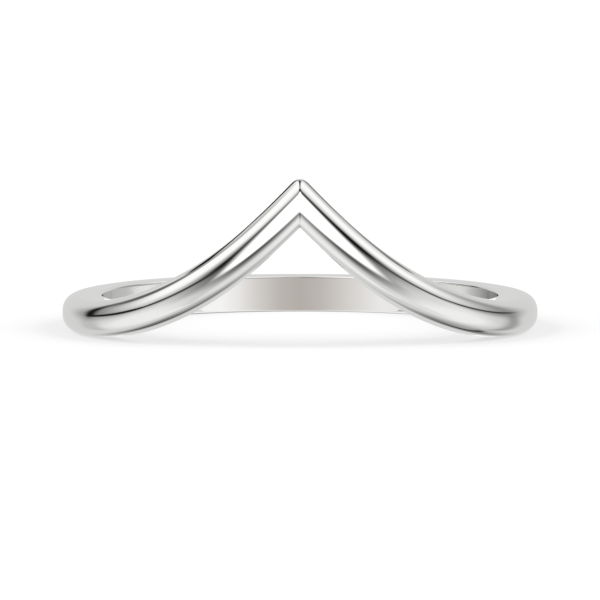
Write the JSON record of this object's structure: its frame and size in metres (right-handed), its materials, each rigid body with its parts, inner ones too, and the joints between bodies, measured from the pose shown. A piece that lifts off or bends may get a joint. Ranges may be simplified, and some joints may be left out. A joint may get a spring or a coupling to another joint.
{
  "type": "chevron ring",
  "caption": "Plain polished white-metal finger ring: a slim domed band whose front rises into a sharp chevron point, flat on its sides and straight inside.",
  "frame": {"origin": "on the finger hole's axis, in the plane that the ring rests on", "axes": "+Z along the finger hole's axis, towards the tip of the chevron's point; the chevron is at the front, -Y; +X to the right as seen from the front"},
  "size_m": [0.0208, 0.0208, 0.0074],
  "materials": {
    "white_gold": "mirror-polished white gold"
  },
  "bodies": {
    "root": {"band": "white_gold"}
  },
  "joints": []
}
